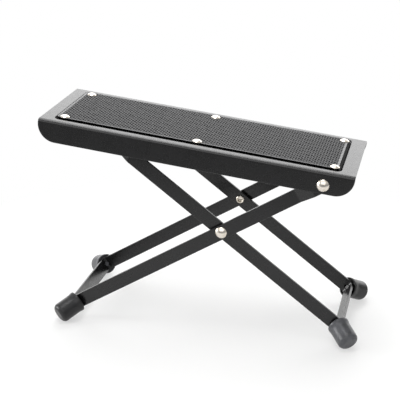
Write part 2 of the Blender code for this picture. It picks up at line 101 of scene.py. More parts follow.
OUTER_AXES = axes_at(SCISSOR, -math.atan2(PIVOT.z - SCISSOR.z, PIVOT.x - SCISSOR.x))
INNER_AXES = axes_at(SCISSOR, math.atan2(ROD.z - SCISSOR.z, SCISSOR.x - ROD.x))
PLATE_TURN = math.atan2(TREAD[0], TREAD[2])
PLATE_LOW, PLATE_HIGH = cad_box("top_plate", axes_at(PIVOT, PLATE_TURN))
PLATE_MIDDLE = Vector(((PLATE_LOW.x + PLATE_HIGH.x) / 2, 0, PLATE_HIGH.z))
PLATE_AXES = axes_at(PIVOT, PLATE_TURN) @ Matrix.Translation(PLATE_MIDDLE)


# Sizes and colours


def srgb(code):
    """An sRGB hex colour as linear red, green and blue."""
    parts = [int(code[k : k + 2], 16) / 255 for k in (0, 2, 4)]
    return tuple(c / 12.92 if c <= 0.04045 else ((c + 0.055) / 1.055) ** 2.4 for c in parts)


def size(name, description, millimetres):
    return FloatProperty(
        name=name,
        description=description,
        default=millimetres * MM,
        min=0,
        precision=5,
        subtype="DISTANCE",
        unit="LENGTH",
    )


def colour(name, description, code):
    return FloatVectorProperty(
        name=name, description=description, default=srgb(code), min=0, max=1, size=3, subtype="COLOR"
    )


class FootstoolPlate(bpy.types.PropertyGroup):
    """Sizes of the folded top plate"""

    length: size("Length", "Length of the plate", 300)
    width: size("Width", "Width over the two flanges", 115)
    sheet: size("Sheet", "Thickness of the steel", 1.5)
    bend: size("Bend", "Outside radius of the folded edge", 3.4)
    flange: size("Flange", "Height of the flanges, from the top", 21.3)
    flange_corner: size("Flange corner", "Radius of the flanges' lower corners", 17.5)
    edge: size("Edge", "Rounding of the coated sheet's edge", 0.5)
    recess_end: size("End rim", "Mean width of the flat rim at the plate's ends", 12.7)
    recess_shift: size("Recess shift", "How far the recess lies towards the free end", 0.8)
    recess_side: size("Side rim", "Rim between the recess and the flange's face", 7.5)
    recess_depth: size("Recess depth", "Depth of the stamped recess", 1.6)
    recess_corner: size("Recess corner", "Corner radius of the recess", 6)
    recess_wall: size("Recess wall", "Run of the recess's sloping wall", 1.6)


class FootstoolMat(bpy.types.PropertyGroup):
    """Sizes of the ribbed mat and its rivets"""

    length: size("Length", "Length of the mat", 269.2)
    width: size("Width", "Width of the mat", 92)
    shift: size("Shift", "How far the mat lies towards the free end", 1.9)
    aside: size("Aside", "How far the mat lies towards the back", 1.2)
    rise: size("Rise", "Height of the mat's top over the plate", 0.9)
    thickness: size("Thickness", "Thickness of the mat", 2.3)
    corner: size("Corner", "Corner radius of the mat", 4.8)
    edge: size("Edge", "Rounding of the mat's upper edge", 0.6)
    foot: size("Foot", "How far the mat's foot spreads past its side", 2.2)
    foot_height: size("Foot height", "Thickness of the mat's foot at its edge", 0.4)
    border_end: size("Border end", "Plain border at the mat's ends", 2.4)
    border_side: size("Border side", "Plain border along the mat's sides", 1.3)
    pitch: size("Pitch", "Half the length of the pattern's repeat", 2.49)
    pit: size("Pit", "Depth of the pattern's pits", 0.6)
    stretch: FloatProperty(
        name="Stretch", description="How much longer the pits are across the mat", default=0.2, min=0, max=0.5
    )
    dimple: size("Dimple", "Depth to which the rivet heads press the mat", 0.34)
    rivet_along: size("Rivet along", "Outer rivets, from the plate's middle", 129.2)
    rivet_aside: size("Rivet aside", "Rivet rows, from the plate's middle line", 40.6)
    head: size("Head", "Diameter of the rivet heads", 9)
    dome: size("Dome", "Height of the rivet heads' dome", 1.6)
    shank: size("Shank", "Diameter of the rivets' shank", 4)
    roll: size("Roll", "Wall of the rivets' rolled end", 0.5)


class FootstoolFrames(bpy.types.PropertyGroup):
    """Sizes of the two strap frames and their feet"""

    width: size("Strap width", "Width of the steel strap", 13.7)
    sheet: size("Strap thickness", "Thickness of the steel strap", 2.5)
    edge: size("Strap edge", "Rounding of the coated strap's edges", 0.42)
    bend: size("Corner bend", "Radius of the strap's middle line at the feet", 3.75)
    step_bend: size("Step bend", "Radius of the strap's middle line at its steps", 5)
    outer_tip: size("Outer tip", "Outer frame's tip face, from the middle line", 55.7)
    outer_face: size("Outer arm", "Outer frame's arm face, from the middle line", 50)
    outer_step: size("Outer step", "Start of the outer frame's step, from its tip", 19)
    outer_run: size("Outer run", "Length of the outer frame's step", 15.5)
    inner_tip: size("Inner tip", "Inner frame's tip face, from the middle line", 41)
    inner_face: size("Inner arm", "Inner frame's arm face, from the middle line", 45.9)
    inner_step: size("Inner step", "Start of the inner frame's step, from its tip", 14)
    inner_run: size("Inner run", "Length of the inner frame's step", 11.8)
    foot_length: size("Foot length", "Length of a rubber foot along its axis", 24.2)
    foot_mouth: size("Foot mouth", "Diameter of a foot at the strap", 20.8)
    foot_end: size("Foot end", "Diameter of a foot at its end", 19.8)
    foot_rounding: size("Foot rounding", "Rounding of a foot's end", 4.5)
    foot_lip: size("Foot lip", "Thickness of the lip round a foot's mouth", 1.4)
    foot_lip_depth: size("Lip depth", "Depth of the mouth inside the lip", 2)
    foot_stem: size("Foot stem", "Diameter of the stem through the strap", 5)


class FootstoolRivets(bpy.types.PropertyGroup):
    """Sizes of the scissor and pivot rivets, their washers and the lock rod"""

    scissor_head: size("Scissor head", "Head of the rivets where the frames cross", 11.3)
    scissor_dome: size("Scissor dome", "Dome of the rivets where the frames cross", 2.4)
    pivot_head: size("Pivot head", "Head of the rivets in the plate's flanges", 11.6)
    pivot_dome: size("Pivot dome", "Dome of the rivets in the plate's flanges", 2.6)
    shank: size("Shank", "Diameter of the shank", 6)
    roll: size("Roll", "Wall of the rolled end", 0.85)
    rim: size("Rim", "Thickness of a head at its rim", 0.4)
    washer: size("Washer", "Outside diameter of the spacer washers", 12)
    washer_sheet: size("Washer sheet", "Thickness of the spacer washers", 1)
    rod: size("Rod", "Diameter of the lock rod", 6)
    tenon: size("Tenon", "Diameter of the rod's tenons", 4.4)
    rod_head: size("Rod head", "Diameter of the tenons' riveted heads", 7.6)
    rod_head_height: size("Rod head height", "Height of the tenons' riveted heads", 1.4)


class FootstoolFinishes(bpy.types.PropertyGroup):
    """Colours of the finishes"""

    coat: colour("Powder coat", "Black powder coat", "0e0e0f")
    coat_worn: colour("Powder coat, rubbed", "The same coat where it is rubbed", "151416")
    mat: colour("Mat", "Mat rubber on the ribs", "1d1d1f")
    # Painted shade: the near-black of the mat's pits stands in for the shade that falls in them.
    mat_pit: colour("Mat pits", "Mat rubber in the pits", "030303")
    foot: colour("Feet", "Moulded rubber of the feet", "0c0c0d")
    # Partly painted highlight: this grey is real bloom in patches, and it also lightens the feet that catch the
    # light.
    foot_bloom: colour("Feet, bloom", "Grey bloom on the feet's rubber", "5c5d61")
    nickel: colour("Nickel", "Nickel plate of the rivets", "e5ded5")
    nickel_stain: colour("Nickel, stained", "Yellowed nickel plate", "cec5ae")
    zinc: colour("Zinc", "Zinc plate of the rod and washers", "b6babe")
    zinc_dull: colour("Zinc, dulled", "Zinc plate where it has dulled", "888b8d")
    floor: colour("Floor", "Pale studio floor", "f1f1f0")
    floor_dull: colour("Floor, duller", "The floor's slightly duller clouds", "eeeeed")


# Meshes


def spread(start, end, step):
    """Evenly spaced values from start to end, both included, about a step apart."""
    return list(np.linspace(start, end, max(2, int(abs(end - start) / step + 0.5) + 1)))


def mirrored(values):
    """The same values on both sides of nought."""
    values = sorted(value for value in values if value > WELD)
    return [-value for value in reversed(values)] + [0] + values


def arc(centre, radius, start, end, steps=8):
    turns = np.linspace(start, end, steps + 1)
    return [(centre[0] + radius * math.cos(t), centre[1] + radius * math.sin(t)) for t in turns]


def make_piece(name, points, faces, axes, finish, sharp=SHARP):
    """A welded mesh object in a piece's own axes, shaded smooth up to its sharp edges."""
    mesh = bpy.data.meshes.new(name)
    mesh.from_pydata([tuple(point) for point in points], [], faces)
    edit = bmesh.new()
    edit.from_mesh(mesh)
    bmesh.ops.remove_doubles(edit, verts=edit.verts, dist=WELD)
    bmesh.ops.recalc_face_normals(edit, faces=edit.faces)
    edit.to_mesh(mesh)
    edit.free()
    mesh.shade_smooth()
    mesh.set_sharp_from_angle(angle=sharp)
    mesh.materials.append(finish)
    piece = bpy.data.objects.new(name, mesh)
    bpy.context.scene.collection.objects.link(piece)
    piece.matrix_world = axes
    return piece


def dress(piece, body, slot, *nodes):
    """The piece moves with its body, and stands for these CAD nodes."""
    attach(piece, body)
    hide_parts(*nodes)


def even_shading(piece):
    """Flat faces stay evenly lit up to their rounded edges."""
    weighted = piece.modifiers.new("even_shading", "WEIGHTED_NORMAL")
    weighted.keep_sharp = True
    weighted.weight = 80


def drilled(piece, pins):
    """Round holes through a piece: each has its two ends, in the piece's own axes, and its radius."""
    facets = 32
    points, faces = [], []
    for start, end, radius in pins:
        along = (end - start).normalized()
        side = along.orthogonal().normalized()
        other = along.cross(side)
        near = list(range(len(points), len(points) + facets))
        far = [index + facets for index in near]
        for centre in (start, end):
            for turn in np.linspace(0, 2 * math.pi, facets, endpoint=False):
                points.append(centre + radius * (math.cos(turn) * side + math.sin(turn) * other))
        for k in range(facets):
            j = (k + 1) % facets
            faces.append((near[k], near[j], far[j], far[k]))
        faces += [tuple(near), tuple(far)]
    cutter = make_piece("drill", points, faces, piece.matrix_world, piece.data.materials[0])
    cut = piece.modifiers.new("drilled", "BOOLEAN")
    cut.operation = "DIFFERENCE"
    cut.solver = "EXACT"
    cut.object = cutter
    bpy.context.view_layer.update()
    evaluated = piece.evaluated_get(bpy.context.evaluated_depsgraph_get())
    mesh = bpy.data.meshes.new_from_object(evaluated)
    piece.modifiers.clear()
    piece.data = mesh
    mesh.name = piece.name
    mesh.shade_smooth()
    mesh.set_sharp_from_angle(angle=SHARP)
    bpy.data.objects.remove(cutter)


def sheet_mesh(stations, columns, fractions, half, corner, sheet, edge, place, foot=None):
    """Points and faces of a rounded rectangle of sheet, which place() lays out in space.

    Stations and columns are places along and across it. Past the last column the fractions run on to the
    outline, which follows the corners. Place takes places along and across and the depth into the sheet.
    A foot is how far the underside spreads past the sides, and its height there; that underside is flat.
    """
    length, width, radius = half[0] - edge, half[1] - edge, corner - edge
    level = width - radius
    rows, ends = [], []
    for u in stations:
        sine = min(1, max(0, (abs(u) - (length - radius)) / radius))
        cosine = math.sqrt(1 - sine**2)
        limit = level + radius * cosine
        outer = [level + (limit - level) * f for f in fractions]
        rows.append([-v for v in reversed(outer)] + list(columns) + outer)
        ends.append((math.copysign(sine, u), cosine))
    count, across = len(rows), len(rows[0])
    grid = np.array([[(u, v) for v in row] for u, row in zip(stations, rows)]).reshape(-1, 2)

    beyond = len(fractions)
    loop = [(k * across + across - 1, *ends[k]) for k in range(count)]
    loop += [((count - 1) * across + j, 1, 0) for j in range(across - beyond - 2, beyond, -1)]
    loop += [(k * across, ends[k][0], -ends[k][1]) for k in range(count - 1, -1, -1)]
    loop += [(j, -1, 0) for j in range(beyond + 1, across - beyond - 1)]
    rim = grid[[entry[0] for entry in loop]]
    out = np.array([entry[1:] for entry in loop])

    turns = np.linspace(0, QUARTER_TURN, 5)
    levels = [(edge * math.sin(t), edge * (1 - math.cos(t))) for t in turns]
    if foot:
        run, low = foot
        levels += [(edge, sheet - 2 * low), (edge + run, sheet - low), (edge + run, sheet)]
    else:
        levels += [(o, sheet - d) for o, d in reversed(levels)]

    points = [place(grid[:, 0], grid[:, 1], 0)]
    for outset, depth in levels:
        points.append(place(*(rim + out * outset).T, depth))
    faces = [
        (k * across + j, k * across + j + 1, (k + 1) * across + j + 1, (k + 1) * across + j)
        for k in range(count - 1)
        for j in range(across - 1)
    ]
    first, around = len(grid), len(loop)
    for level_index in range(len(levels) - 1):
        here = first + level_index * around
        faces += [
            (here + k, here + (k + 1) % around, here + around + (k + 1) % around, here + around + k)
            for k in range(around)
        ]
    if foot:
        here = first + (len(levels) - 1) * around
        faces.append(tuple(range(here, here + around)))
    else:
        here = first + len(levels) * around
        points.append(place(grid[:, 0], grid[:, 1], sheet))
        faces += [tuple(here + index for index in face) for face in faces[: (count - 1) * (across - 1)]]
    return np.concatenate(points), faces


def turned_mesh(profile, steps=48):
    """Points and faces of a body of revolution about Z, from half an outline of radii and heights."""
    points, rings = [], []
    for radius, height in profile:
        if radius < WELD:
            rings.append([len(points)] * steps)
            points.append((0, 0, height))
        else:
            turns = np.linspace(0, 2 * math.pi, steps, endpoint=False)
            rings.append(list(range(len(points), len(points) + steps)))
            points += [(radius * math.cos(t), radius * math.sin(t), height) for t in turns]
    faces = []
    for here, there in zip(rings, rings[1:]):
        for k in range(steps):
            j = (k + 1) % steps
            corners = [here[k], here[j], there[j], there[k]]
            faces.append(tuple(dict.fromkeys(corners)))
    return points, faces


def along_bends(corners, radii):
    """A bent line as lengths, points and left-hand normals, with each bend in short steps."""
    points, normals = [], []
    corners = [Vector(corner) for corner in corners]
    for k, corner in enumerate(corners):
        before = (corner - corners[k - 1]).normalized() if k else None
        after = (corners[k + 1] - corner).normalized() if k + 1 < len(corners) else None
        if before is None or after is None:
            way = before or after
            points.append(corner)
            normals.append(Vector((-way.y, way.x)))
            continue
        turn = -before.angle_signed(after)
        side = math.copysign(1, turn)
        normal = Vector((-before.y, before.x))
        radius = radii[k - 1]
        centre = corner - before * radius * math.tan(abs(turn) / 2) + normal * side * radius
        steps = max(6, int(abs(turn) / math.radians(7)))
        for angle in np.linspace(0, turn, steps + 1):
            spun = Matrix.Rotation(angle, 2) @ normal
            points.append(centre - spun * side * radius)
            normals.append(spun)
    points, normals = np.array(points), np.array(normals)
    lengths = np.concatenate(([0], np.cumsum(np.linalg.norm(np.diff(points, axis=0), axis=1))))
    return lengths, points, normals


# Finishes


def feed(tree, node, inputs):
    """Gives each input of a node its value, or the output that feeds it: a node stands for its first one."""
    for name, value in inputs.items():
        if isinstance(value, bpy.types.Node):
            value = value.outputs[0]
        if isinstance(value, bpy.types.NodeSocket):
            tree.links.new(value, node.inputs[name])
        else:
            node.inputs[name].default_value = value


def add_node(tree, kind, inputs=None, **settings):
    """Adds a shader node, sets it and feeds it."""
    made = tree.nodes.new(f"ShaderNode{kind}")
    for name, value in settings.items():
        setattr(made, name, value)
    feed(tree, made, inputs or {})
    return made


def new_finish(name):
    """An empty Principled material, and the piece's own coordinates in it."""
    material = bpy.data.materials.new(name)
    material.use_nodes = True
    tree = material.node_tree
    place = add_node(tree, "TexCoord").outputs["Object"]
    return material, tree, tree.nodes["Principled BSDF"], place


def shared(finish, colours):
    """A finish that several pieces wear: made for the first of them, and found by its name after that."""
    return bpy.data.materials.get(finish.__name__) or finish(colours)


def per_mm(millimetres):
    """The texture scale at which one feature is this long."""
    return 1 / (millimetres * MM)


def opaque(shade):
    """A colour with its full alpha."""
    return (*shade, 1)


def black_powder_coat(colours):
    """Powder coat on steel, baked satin black: deep and even, with a smooth sheen where light grazes it."""
    made, tree, shader, place = new_finish("black_powder_coat")
    handled = add_node(tree, "TexNoise", {"Vector": place, "Scale": per_mm(22), "Detail": 4})
    rubbed = add_node(
        tree, "MapRange", {"Value": handled, "From Min": 0.35, "From Max": 0.75, "To Max": 0.6}
    )
    shade = add_node(
        tree, "Mix", {0: rubbed, 6: opaque(colours.coat), 7: opaque(colours.coat_worn)}, data_type="RGBA"
    )
    # The gloss changes a little from patch to patch, as baked powder does.
    patches = add_node(tree, "TexNoise", {"Vector": place, "Scale": per_mm(6), "Detail": 3})
    gloss = add_node(
        tree, "MapRange",
        {"Value": patches, "From Min": 0.3, "From Max": 0.7, "To Min": 0.25, "To Max": 0.31},
    )
    # Orange peel, about 1.2 mm from crest to crest and very shallow.
    peel = add_node(tree, "TexNoise", {"Vector": place, "Scale": per_mm(1.2), "Detail": 1})
    bump = add_node(tree, "Bump", {"Height": peel, "Strength": 0.12, "Distance": 0.02 * MM})
    feed(tree, shader, {"Base Color": shade.outputs[2], "Roughness": gloss, "IOR": 1.5, "Normal": bump})
    return made


def calendered_mat_rubber(mat, half_length, half_width, colours):
    """Black rubber sheet pressed with a fine pattern: dull in the pattern, glossy on its plain border."""
    made, tree, shader, place = new_finish("calendered_mat_rubber")
    apart = add_node(tree, "SeparateXYZ", {"Vector": place})
    # Painted shade: low in the pits the rubber is coloured near-black for the shade that falls there, and it takes
    # its own colour from just under the ribs' top.
    dark, light = mat.rise - 0.75 * mat.pit, mat.rise - 0.1 * MM
    out_of_pit_shade = add_node(tree, "MapRange", {"Value": apart.outputs["Z"], "From Min": dark, "From Max": light})
    shade = add_node(
        tree, "Mix", {0: out_of_pit_shade, 6: opaque(colours.mat_pit), 7: opaque(colours.mat)}, data_type="RGBA"
    )
    # The border is as smooth as the press left it, and the ribs are dulled by shoes.
    borders = []
    for axis, start in (("X", half_length - mat.border_end), ("Y", half_width - mat.border_side)):
        away = add_node(tree, "Math", {0: apart.outputs[axis]}, operation="ABSOLUTE")
        near_edge = add_node(
            tree, "MapRange", {"Value": away, "From Min": start - 0.1 * MM, "From Max": start + 0.3 * MM}
        )
        borders.append(near_edge)
    border = add_node(tree, "Math", {0: borders[0], 1: borders[1]}, operation="MAXIMUM")
    dull = add_node(tree, "MapRange", {"Value": border, "To Min": 0.55, "To Max": 0.3})
    grain = add_node(tree, "TexNoise", {"Vector": place, "Scale": per_mm(0.8), "Detail": 2})
    bump = add_node(tree, "Bump", {"Height": grain, "Strength": 0.1, "Distance": 0.02 * MM})
    # Painted shade: the specular level drops almost to nothing in the pits, for the shade that falls there.
    skin = add_node(tree, "MapRange", {"Value": border, "To Min": 0.27, "To Max": 0.38})
    level = add_node(tree, "MapRange", {"Value": out_of_pit_shade, "To Min": 0.005, "To Max": skin})
    feed(tree, shader, {
        "Base Color": shade.outputs[2], "Roughness": dull, "IOR": 1.52,
        "Specular IOR Level": level, "Normal": bump,
    })
    return made


def moulded_foot_rubber(colours):
    """Moulded black rubber: smooth and half dull, with a patchy grey bloom, heavier on some feet, where it is
    partly a painted highlight for the feet that catch the light.
    """
    made, tree, shader, place = new_finish("moulded_foot_rubber")
    cloud = add_node(tree, "TexNoise", {"Vector": place, "Scale": per_mm(7), "Detail": 4, "Roughness": 0.6})
    bloom_and_sheen = add_node(tree, "MapRange", {"Value": cloud, "From Min": 0.25, "From Max": 0.75, "To Min": 0.3})
    # Each foot's own colour says how much grey it carries: partly real bloom, partly painted highlight on the feet
    # that catch the light.
    share = add_node(tree, "ObjectInfo").outputs["Color"]
    carried = add_node(tree, "Math", {0: bloom_and_sheen, 1: share}, operation="MULTIPLY")
    shade = add_node(
        tree, "Mix", {0: carried, 6: opaque(colours.foot), 7: opaque(colours.foot_bloom)}, data_type="RGBA"
    )
    dull = add_node(
        tree, "MapRange", {"Value": cloud, "From Min": 0.3, "From Max": 0.7, "To Min": 0.33, "To Max": 0.4}
    )
    skin = add_node(tree, "TexNoise", {"Vector": place, "Scale": per_mm(0.9), "Detail": 3})
    bump = add_node(tree, "Bump", {"Height": skin, "Strength": 0.2, "Distance": 0.04 * MM})
    feed(tree, shader, {
        "Base Color": shade.outputs[2], "Roughness": dull, "IOR": 1.52,
        "Specular IOR Level": 0.36, "Normal": bump,
    })
    return made


def barrelled_nickel_plate(colours):
    """Nickel plate on steel, barrelled bright: a warm white metal, a little yellowed in patches."""
    made, tree, shader, place = new_finish("barrelled_nickel_plate")
    cloud = add_node(tree, "TexNoise", {"Vector": place, "Scale": per_mm(5), "Detail": 3})
    stain = add_node(tree, "MapRange", {"Value": cloud, "From Min": 0.45, "From Max": 0.75, "To Max": 0.55})
    shade = add_node(
        tree, "Mix",
        {0: stain, 6: opaque(colours.nickel), 7: opaque(colours.nickel_stain)},
        data_type="RGBA",
    )
    # Faint dents from tumbling, about 1.6 mm across.
    dents = add_node(tree, "TexNoise", {"Vector": place, "Scale": per_mm(1.6), "Detail": 2})
    polish = add_node(
        tree, "MapRange", {"Value": dents, "From Min": 0.3, "From Max": 0.7, "To Min": 0.19, "To Max": 0.27}
    )
    bump = add_node(tree, "Bump", {"Height": dents, "Strength": 0.06, "Distance": 0.003 * MM})
    feed(tree, shader, {"Base Color": shade.outputs[2], "Metallic": 1, "Roughness": polish, "Normal": bump})
    return made


def clear_zinc_plate(colours):
    """Zinc plate on turned steel: cool grey, dulled in clouds, with faint turning marks across the rod."""
    made, tree, shader, place = new_finish("clear_zinc_plate")
    cloud = add_node(tree, "TexNoise", {"Vector": place, "Scale": per_mm(4), "Detail": 4})
    clear = add_node(tree, "MapRange", {"Value": cloud, "From Min": 0.3, "From Max": 0.7, "To Min": 0.8})
    shade = add_node(
        tree, "Mix", {0: clear, 6: opaque(colours.zinc_dull), 7: opaque(colours.zinc)}, data_type="RGBA"
    )
    dull = add_node(
        tree, "MapRange", {"Value": cloud, "From Min": 0.3, "From Max": 0.7, "To Min": 0.34, "To Max": 0.46}
    )
    # The bands turn by 20 radians per unit of scale. Real marks are too fine to show: these are 3.8 mm apart.
    turning = add_node(
        tree, "TexWave",
        {"Vector": place, "Scale": per_mm(3.77) * 2 * math.pi / 20, "Distortion": 1.5, "Detail": 2},
        wave_type="BANDS", bands_direction="Z",
    )
    bump = add_node(
        tree, "Bump", {"Height": turning.outputs["Fac"], "Strength": 0.25, "Distance": 0.02 * MM}
    )
    feed(tree, shader, {"Base Color": shade.outputs[2], "Metallic": 1, "Roughness": dull, "Normal": bump})
    return made


# Plate and mat


def outline_distance(x, y, half_length, half_width, corner):
    """How far a place is from a rounded rectangle's outline: below nought inside it."""
    a = np.abs(x) - (half_length - corner)
    b = np.abs(y) - (half_width - corner)
    return np.minimum(np.maximum(a, b), 0) + np.hypot(np.maximum(a, 0), np.maximum(b, 0)) - corner


def eased(value, start, end):
    """Runs smoothly from nought at start to one at end."""
    t = np.clip((value - start) / (end - start), 0, 1)
    return t * t * (3 - 2 * t)


def ramped(value, run, blend):
    """Runs from nought to one over a run, straight between its rounded ends."""

    def climbed(distance):
        t = np.clip(distance / blend, 0, 1)
        return blend * (t**3 - t**4 / 2) + np.maximum(distance - blend, 0)

    return (climbed(value) - climbed(value - run + blend)) / (run - blend)


def build_plate(plate, rivets, mat, finish):
    """The folded sheet: top, bends and flanges in one piece, with the recess stamped into it."""
    half_length, half_width = plate.length / 2, plate.width / 2
    recess_end, recess_side = half_length - plate.recess_end, half_width - plate.recess_side
    flat = half_width - plate.bend
    quarter = plate.bend * QUARTER_TURN
    unrolled = flat + quarter + plate.flange - plate.bend
    wall_blend = 0.6 * MM

    def place(x, v, depth):
        away, side = np.abs(v), np.sign(v)
        turn = np.clip((away - flat) / plate.bend, 0, QUARTER_TURN)
        down = np.maximum(away - flat - quarter, 0)
        y = np.minimum(away, flat) + (plate.bend - depth) * np.sin(turn)
        z = -plate.bend + (plate.bend - depth) * np.cos(turn) - down
        gap = outline_distance(x + plate.recess_shift, y, recess_end, recess_side, plate.recess_corner)
        z = z - plate.recess_depth * ramped(-gap, plate.recess_wall, wall_blend)
        return np.stack((x, side * y, z), axis=1)

    # Long steps over the flats, and short ones over the recess's wall and the bends.
    flat_step, wall_step, rim_step, bend_step = 8 * MM, 0.36 * MM, 1.4 * MM, 0.5 * MM
    before_wall, past_wall = plate.recess_corner + MM, 0.4 * MM
    fine_from = recess_end - plate.recess_shift - before_wall
    fine_to = recess_end + plate.recess_shift + past_wall
    stations = spread(0, fine_from, flat_step) + spread(fine_from, fine_to, wall_step)[1:]
    radius = plate.flange_corner - plate.edge
    inner = half_length - plate.flange_corner
    start = math.asin((fine_to - inner) / radius)
    stations += [inner + radius * math.sin(t) for t in np.linspace(start, QUARTER_TURN, 18)[1:]]
    fine_from, fine_to = recess_side - before_wall, recess_side + past_wall
    columns = spread(0, fine_from, flat_step) + spread(fine_from, fine_to, wall_step)[1:]
    columns += spread(fine_to, flat, rim_step)[1:] + spread(flat, flat + quarter, bend_step)[1:]
    columns.append(unrolled - plate.flange_corner)
    down_flange = [*np.linspace(0, 0.96, 9)[1:], 1]
    points, faces = sheet_mesh(
        mirrored(stations),
        mirrored(columns),
        down_flange,
        (half_length, unrolled),
        plate.flange_corner,
        plate.sheet,
        plate.edge,
        place,
    )
    piece = make_piece("plate_sheet", points, faces, PLATE_AXES, finish)
    pivot = PLATE_AXES.inverted() @ PIVOT
    # The drills run a few millimetres past the sheet.
    across = Vector((0, half_width + 5 * MM, 0))
    below, above = Vector((0, 0, -6 * MM)), Vector((0, 0, 3 * MM))
    holes = [(pivot - across, pivot + across, rivets.shank / 2 + PLAY)]
    for _, x, y in mat_rivet_places(mat):
        middle = Vector((x, y, 0))
        holes.append((middle + below, middle + above, mat.shank / 2 + PLAY))
    drilled(piece, holes)
    even_shading(piece)
    dress(piece, "top_plate", "black_steel", "top_plate")


def mat_rivet_places(mat):
    """Name and place of each mat rivet, from the plate's middle."""
    rows = (("front", -mat.rivet_aside), ("back", mat.rivet_aside))
    columns = (("left", -mat.rivet_along), ("middle", 0), ("right", mat.rivet_along))
    return [(f"{row}_{column}", x, y) for row, y in rows for column, x in columns]


def build_mat(mat, colours):
    """The ribbed mat: crossing ribs with a pit in each square, a plain border and a dimple at each rivet."""
    half_length, half_width = mat.length / 2, mat.width / 2
    finish = calendered_mat_rubber(mat, half_length, half_width, colours)
    head = mat.head / 2
    # The pattern fades out next to the border, and from 1.2 to 0.3 mm off the rivets' heads.
    border_blend, plain_to, patterned_from = 0.4 * MM, head + 0.3 * MM, head + 1.2 * MM
    dimple_edge, dimple_floor = head + 1.8 * MM, head + 0.3 * MM
    # A pit starts where the pattern's wave passes the first of these heights, and is full at the other.
    pit_edge, pit_floor = 0.16, 0.44

    def place(x, y, depth):
        z = np.full_like(x, mat.rise) - depth
        if np.isscalar(depth) and depth == 0:
            from_end = half_length - mat.border_end - np.abs(x)
            from_side = half_width - mat.border_side - np.abs(y)
            patterned = eased(np.minimum(from_end, from_side), 0, border_blend)
            for _, rivet_x, rivet_y in mat_rivet_places(mat):
                away = np.hypot(x - rivet_x - mat.shift, y - rivet_y + mat.aside)
                patterned = patterned * eased(away, plain_to, patterned_from)
                z = z - mat.dimple * eased(-away, -dimple_edge, -dimple_floor)
            along, across = np.cos(math.pi * x / mat.pitch), np.cos(math.pi * y / mat.pitch)
            wave = along * across + mat.stretch * (along**2 - across**2)
            z = z - mat.pit * patterned * eased(wave, pit_edge, pit_floor)
        return np.stack((x, y, z), axis=1)

    # Ten points to each repeat of the pattern, up to where the corners turn faster than that.
    step, even_to, turning_from = mat.pitch / 5, 0.6, math.asin(0.7)
    radius = mat.corner - mat.edge
    inner, level = half_length - mat.corner, half_width - mat.corner
    stations = [k * step for k in range(int((inner + even_to * radius) / step) + 1)]
    stations += [inner + radius * math.sin(t) for t in np.linspace(turning_from, QUARTER_TURN, 6)[1:]]
    points, faces = sheet_mesh(
        mirrored(stations),
        mirrored([k * step for k in range(int(level / step) + 1)]),
        list(np.linspace(0, 1, 8)[1:]),
        (half_length, half_width),
        mat.corner,
        mat.thickness,
        mat.edge,
        place,
        foot=(mat.foot, mat.foot_height),
    )
    axes = PLATE_AXES @ Matrix.Translation((-mat.shift, mat.aside, 0))
    piece = make_piece("ribbed_mat", points, faces, axes, finish, math.radians(60))
    dress(piece, "top_plate", "mat_rubber", "rubber_mat")


# Rivets, washers, rod and rail


def rivet_outline(head, dome, rim, shank, wall, grip):
    """Half outline of a domed rivet, whose hollow end is rolled over. Nought is the underside of its head."""
    ball = ((head / 2) ** 2 + dome**2) / (2 * dome)
    rim_turn = QUARTER_TURN - math.asin(head / 2 / ball)
    crown = arc((0, dome + rim - ball), ball, QUARTER_TURN, rim_turn, 14)[1:-1]
    lip = rim * 0.45
    # The roll spreads one and a half walls past the shank, and is nearly two walls high.
    outer, hollow, height = shank / 2 + 1.5 * wall, shank / 2 - wall, 1.95 * wall
    middle, reach = (outer + hollow) / 2, (outer - hollow) / 2
    turns = np.linspace(0, math.pi, 13)
    roll = [(middle + reach * math.cos(t), -grip - height * math.sin(t)) for t in turns]
    return [
        (0, dome + rim),
        *crown,
        *arc((head / 2 - lip, rim - lip), lip, QUARTER_TURN / 2, 0, 3),
        (head / 2, lip / 2),
        (head / 2 - lip / 2, 0),
        (shank / 2, 0),
        (shank / 2, -grip),
        *roll,
        (hollow, -grip + 0.7 * wall),
        (hollow * 0.8, -grip + wall),
        (0, -grip + wall),
    ]


def build_mat_rivets(plate, mat, rivets, finish):
    """Six small rivets that press the mat down, rolled over under the plate."""
    seat = mat.rise - mat.dimple - TOUCH
    grip = seat + plate.recess_depth + plate.sheet + TOUCH
    outline = rivet_outline(mat.head, mat.dome, rivets.rim, mat.shank, mat.roll, grip)
    points, faces = turned_mesh(outline, steps=40)
    for name, x, y in mat_rivet_places(mat):
        axes = PLATE_AXES @ Matrix.Translation((x, y, seat))
        piece = make_piece(f"mat_stud_{name}", points, faces, axes, finish)
        dress(piece, "top_plate", "nickel_plate", f"mat_rivet_{name}")


def across_axes(axes, y):
    """Axes whose Z points out of the stool's side, so far from the middle line of a frame or the plate."""
    turn = Matrix.Rotation(-math.copysign(QUARTER_TURN, y), 4, "X")
    return axes @ Matrix.Translation((0, y, 0)) @ turn


def build_big_rivets(plate, frames, rivets, finish):
    """The rivets where the frames cross and where the outer frame hangs in the flanges."""
    kinds = (
        ("scissor", "outer_frame", OUTER_AXES, rivets.scissor_head, rivets.scissor_dome,
         frames.outer_face, frames.inner_face - frames.sheet),
        ("pivot", "top_plate", axes_at(PIVOT, PLATE_TURN), rivets.pivot_head, rivets.pivot_dome,
         plate.width / 2, frames.outer_tip - frames.sheet),
    )
    for name, body, axes, head, dome, seat, inside in kinds:
        grip = seat - inside + 2 * TOUCH
        outline = rivet_outline(head, dome, rivets.rim, rivets.shank, rivets.roll, grip)
        points, faces = turned_mesh(outline)
        for where, side in SIDES:
            place = across_axes(axes, side * (seat + TOUCH))
            piece = make_piece(f"{name}_stud_{where}", points, faces, place, finish)
            dress(piece, body, "nickel_plate", f"{name}_rivet_{where}")


